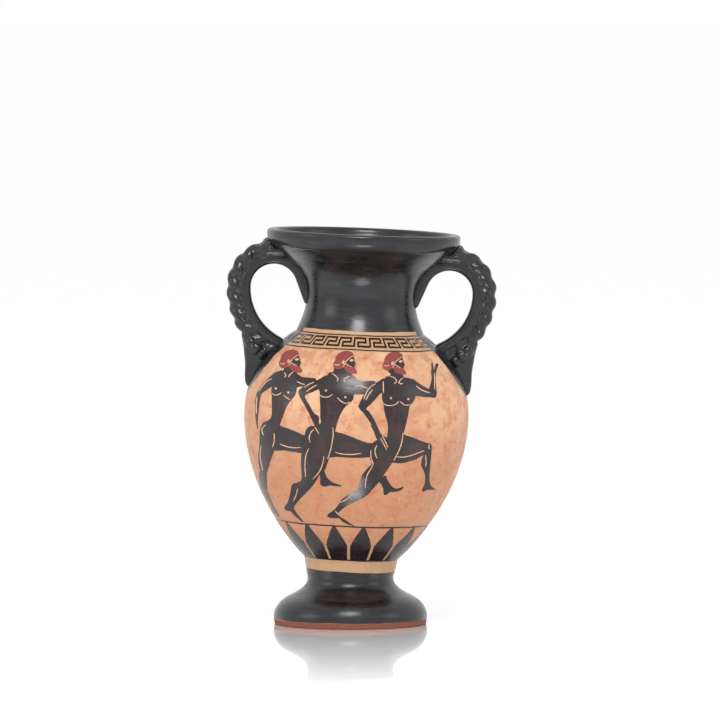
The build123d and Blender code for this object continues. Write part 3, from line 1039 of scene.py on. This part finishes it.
bodies = {
    "rightRunner": [
        "10 94.3, 7.2 92.9, 5.2 92, 3.6 90, 2 87.2, .6 84, .5 83.2, 1.8 81.5, 3.4 79.4, 5 77, 6.4 74.6,"
        "7.4 72.4, 8.2 71, 10.5 68.5, 12 67, 12.6 69.5, 11.5 72, 9.6 73.2, 8.4 75.2, 7.2 77.6, 5.8 80,"
        "4.4 81.8, 3.4 82.6, 5 84.4, 7 86.6, 8.6 88.6, 10 89.4",
        "12.3 95.3, 10 94.3, 9.2 88, 9.8 85, 10.6 81, 11.6 78, 12 75, 11.6 72, 10 70.5, 8.2 71, 6.6 70,"
        "5.4 68, 5.2 65.5, 5.8 63.5, 6.4 62, 4.4 59.6, 3 57.6, 2.2 55, 1.6 52.6, .4 51.2, -1.5 50.2,"
        "-3.8 48.6, -5.4 46.2, -6.6 44.4, -7.6 43.4, -9.2 42.2, -9.7 41.4, -9 40.8, -7 40.6, -5 40.6,"
        "-4 39.6, -2 38.6, 0 38, 1 37.6, .2 38.2, -1.4 39.2, -3 40.2, -4.6 41.2, -5.6 42.4, -3.6 44.6,"
        "-1 46.4, 1.5 47.6, 4.2 49.2, 6 50.8, 7.2 52.4, 8.5 54, 10 56, 11.6 58.6, 13 60.8, 14.2 62.8,"
        "15.2 64.6, 16.5 66.8, 17.4 69.5, 17.8 72.2, 18 74, 18.8 77.5, 19.4 81, 19.9 84.5, 20.9 85.6,"
        "21.8 87.4, 21.9 88.7, 22 93.6, 19.5 94.8, 17.8 95, 16.6 95",
        "22 93.6, 23.8 92.6, 25.4 91.8, 26.9 91.2, 27.4 92.6, 27.9 95, 27.6 97.6, 27.7 98.6, 27.6 101,"
        "28 101.3, 28.6 98.4, 29 99.6, 29.4 100.9, 30.3 100.6, 29.9 99, 29.4 97, 29.5 94, 29.8 91,"
        "29.9 88.6, 29.2 87.8, 27.5 88, 25.5 87.9, 23 88.2, 21 88.5, 21 92.5",
        "12 94.6, 12.8 97.2, 13 99.4, 16 98.6, 16.4 96.6, 17 94.6",
        "17 73.4, 19.5 73, 22 72.3, 25 71.2, 27 70.6, 28.4 70.3, 28.9 69.4, 28.9 67.5, 28.8 65,"
        "28.6 61, 28.5 58, 28.8 55.5, 29.4 54.2, 30.8 53.2, 31.2 52.9, 29 52.7, 27.6 52.6, 26.8 52,"
        "26 52.2, 26.2 53.4, 26.9 55, 26.9 58, 26.2 60, 25.2 62, 25.3 64, 26 66.2, 26.4 66.6, 25 65.4,"
        "22.5 64, 19 62.8, 17 62.5, 15 62.6, 13.4 63.4, 14.5 69",
    ],
    "middleRunner": [
        "11.6 57.6, 12.6 56, 14 54, 15.8 52.8, 17.6 53.2, 18.8 53.6, 18 52.4, 16 51.6, 13.8 51.4,"
        "12.2 50.2, 11.4 50.6, 11 53, 9.6 55, 8.6 55",
        "-12 94.5, -15 93, -16.5 92.2, -18.4 91.4, -20.2 90.4, -22.4 88.4, -22.2 87, -21.4 85.4,"
        "-20 83.2, -18.4 80.6, -17 77.8, -16 76, -15 73, -14 71.6, -13.2 73, -14.2 76.5, -14.4 79,"
        "-16.2 80.2, -18 83, -19.9 86.6, -17 88.2, -14.6 89.4, -12.8 90.5",
        "-9.8 96, -12 94.5, -14.6 89.4, -14.4 88.6, -14.2 86, -13.9 82, -13.8 79, -13.6 76.5,"
        "-15.8 75.4, -17.6 75.2, -19 73.6, -19.4 71.4, -19.1 70, -20 67, -20.4 63.6, -20.3 60, -20 57,"
        "-20 54.6, -21.5 53.6, -23.4 52.8, -23.8 51, -24.2 48.6, -24.8 46, -25.8 44.4, -26 43.2,"
        "-25 42.6, -23.6 42.4, -22.2 41, -20.5 39.6, -18.6 38.4, -19.6 39.8, -21 41.4, -22 42.8,"
        "-22.6 43.8, -22 45, -20.4 47.2, -18.6 49.2, -16.6 51.4, -15.2 53.2, -14 55.4, -12.8 57.4,"
        "-11.4 58.6, -10.2 62, -9.6 65, -9 68, -8.4 70.5, -8 73.2, -7.6 75.5, -6.8 78.5, -5.8 81,"
        "-4.4 83.2, -2.6 84.8, -1.7 86, -1.4 88, -1.4 93.8, -2.3 94.8",
        "-2.3 94.8, 0 93.4, 2.2 93, 6.5 92.9, 6.5 88, 3.4 88.1, 1 88, -1.4 88, -3 89",
        "-9 73.2, -6.4 73.2, -4 72.6, -.5 71.4, 3 70.2, 5.6 69.6, 6.2 69.6, 6 65, 4 64.2, 1 64,"
        "-3 63.9, -7 64, -9.9 64, -10 69",
        "-9.8 94.6, -9.4 96.6, -8.6 99, -4.4 98.4, -3.6 96.8, -2.3 94.4",
    ],
    "leftRunner": [
        "-11.6 58.6, -11 57.2, -10 55.6, -8 54.2, -6 53.6, -4.7 53.2, -4.8 52.8, -7.5 52.9, -9.6 53,"
        "-10.6 52.6, -11.8 52.6, -12.8 53.4, -12.8 55, -13 57",
        "-30.5 95.2, -32.6 94.2, -34.4 92.4, -36.2 90.4, -37.6 88.2, -38.4 86.4, -38.8 83.5,"
        "-38.7 81, -38.5 78, -38 75, -37.4 73.2, -37.5 76, -37.5 79, -37.2 82, -37 84.6, -36.6 86.6,"
        "-35.2 87.8, -33 89.4, -31.4 90",
        "-28 95.8, -30.5 95.2, -32.4 90, -32.7 88.2, -32.5 86, -32.4 83, -32.2 80, -32.4 78,"
        "-33.4 76.8, -35 76, -36 74.6, -36.6 72, -36.5 69, -36.6 65.6, -36.8 63, -36.6 60, -36 57.6,"
        "-36.4 55.8, -36.2 54.4, -35.8 52, -35.2 50, -33.6 47.5, -31.6 44.6, -30.8 42, -29.4 40.6,"
        "-28 39.9, -29 42, -30.6 44.6, -32 47.4, -33 50, -33.2 53, -33.4 56, -33 58, -32.2 61,"
        "-31 64.6, -30 68, -29.9 71, -29.4 74, -28.6 76.5, -27.8 79, -26.8 82, -25.4 84.4, -24 86.2,"
        "-23.3 88, -22.8 94, -24 95.2",
        "-24 95.2, -21.5 93.8, -16 93.2, -17.5 91.2, -20.4 90.2, -22.8 89.8, -24 89.2",
        "-30 74.4, -27.6 74.4, -25 73.7, -22 72.6, -20.2 71.8, -19 71.2, -19.8 65.3, -23 65.2,"
        "-27 65.6, -31 66",
        "-28.4 95, -28 97, -27.6 98.4, -24.4 98, -24 96.4, -23.6 94.8",
    ],
}
cuts = {
    "rightRunner": [
        "12 95.2, 13.4 94.8, 14.4 93.8, 14.2 92.9, 13.6 92.6",
        "16.9 94.8, 15.9 94, 15.4 93, 16.2 92.5, 16.9 92.8", "6.6 92.2, 4.8 91, 3.4 89, 2.4 86.2",
        "5.6 90, 4.2 88, 3.2 86", "1.8 81.6, 3.6 79.2, 5.6 76.6", "9.2 71.8, 10.6 69.6, 11.8 67.4",
        "9.8 73, 11.2 70.4, 12.2 68.4", "9.2 85.4, 10.6 84.4, 12.4 84.2, 14.2 84.6, 15.8 86",
        "16.2 85.8, 17.6 84.8, 19 84.6, 19.8 84.8", "22 92, 23.6 90.8, 25.6 90, 27.4 89.6",
        "28.7 97, 29 94, 29 91", "17.7 74, 17.5 71.6, 17 69, 16 66.4, 14.6 63.4",
        "8 69, 7.4 67.4, 7.6 65.6, 8.3 64.2",
        "5.8 67, 6 64.2, 6.8 62.2, 6.4 60.6, 5 58, 4.4 55.4, 4.3 52.6",
        "15.4 65, 18 64.9, 21 65.6, 24 66.8, 26 67.6", "28 70, 27.6 69, 28.2 68.4",
        "26.6 66, 26.9 63.5, 26.8 61.6", "-1 49.4, -3 47.8, -5.2 46.7", "-6.8 43.4, -6 42.8, -5.6 42.2",
        "9.4 93.2, 9.6 91, 9.7 89",
    ],
    "middleRunner": [
        "-14.2 87, -12.6 86.4, -11 86.6, -9.4 87.6", "-7.6 86.4, -6 85, -4.2 84.4, -2.8 84.9",
        "-10 95.4, -8.6 94.6, -7.6 93.4, -8 92.6", "-3.4 94.6, -4.9 93.8, -5.4 93, -4.8 92.4",
        "-1.2 90.8, .6 91.2, 2.2 90.8, 3.6 90.4", "-16.6 91.9, -18.4 91, -20.2 89.8",
        "-15.6 90.8, -17.6 89.6, -19.4 88.2", "-8.9 75.2, -8.6 72.6, -8.9 69.5, -9.5 66, -10.4 63",
        "-11.8 64, -12.2 61, -13.4 58, -15.6 55.2", "-17.6 66.8, -18.6 64, -18.8 60, -18.4 56",
        "-17.2 69, -17.6 71, -17 73, -16 74", "-15.6 75, -14.6 73.4, -13.9 72.4",
        "-7.6 65.8, -5 65.2, -1 65.2, 2.2 65.8", "-21.2 51.4, -21.8 48.6, -22.8 46.4",
    ],
    "leftRunner": [
        "-32.3 87, -31.4 86.4, -30 86.6, -28.8 87.4", "-28 86.6, -26.8 85.6, -25.4 84.9",
        "-28 95, -27.4 94, -27.9 93.2", "-24.6 95.4, -25.8 94.4, -26.4 93.4",
        "-32.6 92.6, -34.6 91.4, -36.2 89.6, -37.4 87.6", "-38.1 85.6, -38.2 82.5, -38.1 79",
        "-34.4 75, -35.6 73.4, -35.4 71.8, -34.8 71", "-35.8 67, -36 63, -35.4 60, -34.8 57.4",
        "-28.6 68, -26.4 67.2, -23.6 66.8, -20.6 67", "-23 91.8, -21.6 91.2, -20 90.8",
        "-31 72, -30.8 69, -31.4 66.6",
    ],
}
nipples = [(12.6, 87), (19.2, 86.9), (-12, 88.9), (-4.6, 86.7), (-31, 88.9), (-26.2, 87.6)]
# brown streaks where the slip lies thin: middle across, middle up, half width, half height
thinSlip = [
    (15.5, 79, 3.4, 8.5), (11, 62, 3.2, 6), (23, 68.5, 3.5, 2.5), (-9.5, 81, 3.2, 6.5),
    (-13.5, 65, 3.2, 7), (-29, 80, 2.6, 8), (-33, 63, 2.2, 5), (-2, 67.5, 4.5, 2.4),
]


def washAt(spot):
    tone = 0.0
    for x, y, wide, tall in thinSlip:
        away = ((spot[0] - x) / wide) ** 2 + ((spot[1] - y) / tall) ** 2
        tone = max(tone, 1.0 - away)
    return max(tone, 0.0)


# heads of a plain kind: face, hair with its roll at the nape, pointed beard, ear and eye
head = {
    "size": 0.93, "places": [(13.7, 100.6), (-4.9, 100.2), (-25.6, 99.8)],
    "face": "0 3.7, 1.6 3.3, 2.8 2.3, 3.3 .9, 3.6 -.1, 4.1 -.9, 3.6 -1.3, 3.7 -1.9, 3.5 -2.3, 3.3 -3.1,"
            "2.2 -3.9, .6 -4.4, -1 -4.8, -2.6 -3.8, -3.4 -1.5, -3.4 1, -2.4 3",
    "hair": "3.1 2.5, 1.9 1.7, .9 .9, .1 0, -.5 -1.1, -1 -2.4, -2 -3.1, -3.5 -3.3, -4.7 -2.6, -5.1 -1.2,"
            "-4.5 .2, -4.1 1.9, -3 3.2, -1.3 4.1, .6 4.3, 2.2 3.8",
    "beard": "-.5 -.9, .4 -1.3, 1.3 -1.9, 2.3 -2.1, 3.5 -2.4, 4.7 -4.3, 3.5 -4.8, 1.9 -4.7, .6 -4.3,"
             "-.5 -3.1, -.9 -1.9",
    "lines": [
        "3.1 2.45, 1.9 1.65, .9 .85, .1 -.05, -.5 -1.15, -1 -2.4", "-.4 -.9, .5 -1.3, 1.4 -1.85, 2.4 -2.1",
        "1.5 .35, 2.2 .78, 2.9 .5, 2.2 .08, 1.5 .35", "-1.5 -.3, -1 .2, -.6 -.3, -1 -1, -1.5 -.8, -1.5 -.3",
        "-4.6 -1.4, -3.6 -1.7, -2.4 -1.3",
    ],
}


def atHead(text, place):
    return [(place[0] + head["size"] * x, place[1] + head["size"] * y) for x, y in drawn(text)]


frieze = {
    "grain": 0.6, "cutGrain": 0.28, "cutWidth": 0.37, "blackLift": 0.07 * mm,
    "layerLift": 0.012 * mm, "redLift": 0.17 * mm, "cutLift": 0.2 * mm,
    "nipple": 0.42, "nippleSides": 12, "headGrain": 0.5, "headStep": 0.4, "headCutWidth": 0.3,
}
for side, turn in (("Front", 0.0), ("Back", math.pi)):
    place = placeFrom(turn)
    black, red, incised = Film(), Film(), Film()
    layerCount = 0
    for name, shapes in bodies.items():
        for text in shapes:
            layerCount += 1
            lift = frieze["blackLift"] + (layerCount % 5) * frieze["layerLift"]
            black.lay(smoothed(drawn(text), frieze["grain"]), lift, frieze["grain"], place, washAt)
        for text in cuts[name]:
            line = strokeOutline(smoothed(drawn(text), frieze["cutGrain"], False), frieze["cutWidth"])
            incised.lay(line, frieze["cutLift"], frieze["cutGrain"], place)
    for x, y in nipples:
        angles = np.linspace(0, turnFull, frieze["nippleSides"] + 1)[:-1]
        dot = [(x + frieze["nipple"] * math.cos(a), y + frieze["nipple"] * math.sin(a)) for a in angles]
        incised.lay(dot, frieze["cutLift"], frieze["cutGrain"], place)
    for spot in head["places"]:
        for film, part, lift in (
            (black, "face", frieze["blackLift"] + 6 * frieze["layerLift"]),
            (red, "hair", frieze["redLift"]), (red, "beard", frieze["redLift"]),
        ):
            edge = smoothed(atHead(head[part], spot), frieze["headStep"])
            film.lay(edge, lift, frieze["headGrain"], place)
        for text in head["lines"]:
            line = smoothed(atHead(text, spot), frieze["cutGrain"], False)
            lift = frieze["cutLift"] + 2 * frieze["layerLift"]
            incised.lay(strokeOutline(line, frieze["headCutWidth"]), lift, frieze["cutGrain"], place)
    for film, name, finish, slotName in (
        (black, "runnersBlack", "figure", "black_gloss"), (red, "runnersRed", "red", "black_gloss"),
        (incised, "runnersIncised", "incised", "painted_clay"),
    ):
        piece = film.make(name + side, finishes[finish])
        upright.append(piece)
        rides.append((piece, [], slotName))

for piece in upright:
    piece.data.transform(leanMatrix)
    piece.data.update()
for piece, nodeNames, slotName in rides:
    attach(piece, "root")
    if nodeNames:
        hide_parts(*nodeNames)
print("pieces placed:", len(rides))

# floor: pale, polished where the foot stands and duller further out
polish = {"start": 30 * mm, "end": 315 * mm, "near": 0.77, "dulls": 1.7, "roughness": 0.035}
material, n = newMaterial("paleFloor")
spot = n.add("ShaderNodeTexCoord").outputs["Object"]
nearness = n.ramp(n.vector("LENGTH", spot), polish["end"], polish["start"])
share = n.times(n.math("POWER", nearness, 1 / polish["dulls"]), polish["near"])
paint = n.mix(n.noise(spot, 60.0), linear(255, 255, 255), linear(251, 251, 251))
plain = n.get("ShaderNodeBsdfDiffuse", {"Color": paint})
shiny = n.get(
    "ShaderNodeBsdfGlossy", {"Color": (1, 1, 1, 1), "Roughness": polish["roughness"]}
)
mixed = n.get("ShaderNodeMixShader", {0: share, 1: plain, 2: shiny})
n.add("ShaderNodeOutputMaterial", {"Surface": mixed})
floor = newObject("floor", [(-4, -4, 0), (4, -4, 0), (4, 12, 0), (-4, 12, 0)], [], [(0, 1, 2, 3)])
floor.data.materials.append(material)

# light: an even white room, with a soft box above and one on each side
world = bpy.data.worlds.new("room")
scene.world = world
world.use_nodes = True
room = world.node_tree.nodes["Background"].inputs
room["Color"].default_value = (1, 1, 1, 1)
room["Strength"].default_value = 1.0
middle = Vector((0, 0, 0.075))
softBoxes = {
    "softBoxAbove": {"place": (-0.03, -0.75, 0.8), "size": 0.3, "power": 4.2},
    "softBoxLeft": {"place": (-0.85, -0.35, 0.4), "size": 0.4, "power": 0.9},
    "softBoxRight": {"place": (0.85, -0.35, 0.4), "size": 0.4, "power": 0.6},
}
for name, box in softBoxes.items():
    data = bpy.data.lights.new(name, "AREA")
    data.shape = "SQUARE"
    data.size = box["size"]
    data.energy = box["power"]
    lamp = bpy.data.objects.new(name, data)
    lamp.location = box["place"]
    lamp.rotation_euler = (middle - lamp.location).to_track_quat("-Z", "Y").to_euler()
    scene.collection.objects.link(lamp)
scene.view_settings.view_transform = "Standard"

# camera: far off and almost level
camera = {
    "elevation": math.radians(3.2), "distance": 3.5, "frameWidth": 276.2 * mm,
    "aimAcross": 3.7 * mm, "aimUp": 101.0 * mm, "sensor": 36.0,
}
lens = bpy.data.cameras.new("camera")
lens.sensor_width = camera["sensor"]
lens.lens = camera["sensor"] * camera["distance"] / camera["frameWidth"]
lens.clip_end = 50.0
eye = bpy.data.objects.new("camera", lens)
lookAlong, lookUp = viewAxes(camera["elevation"])
eye.location = (
    Vector((camera["aimAcross"], 0, 0)) + lookUp * camera["aimUp"] - lookAlong * camera["distance"]
)
eye.rotation_euler = (math.pi / 2 - camera["elevation"], 0, 0)
scene.collection.objects.link(eye)
scene.camera = eye

print("scene ready")
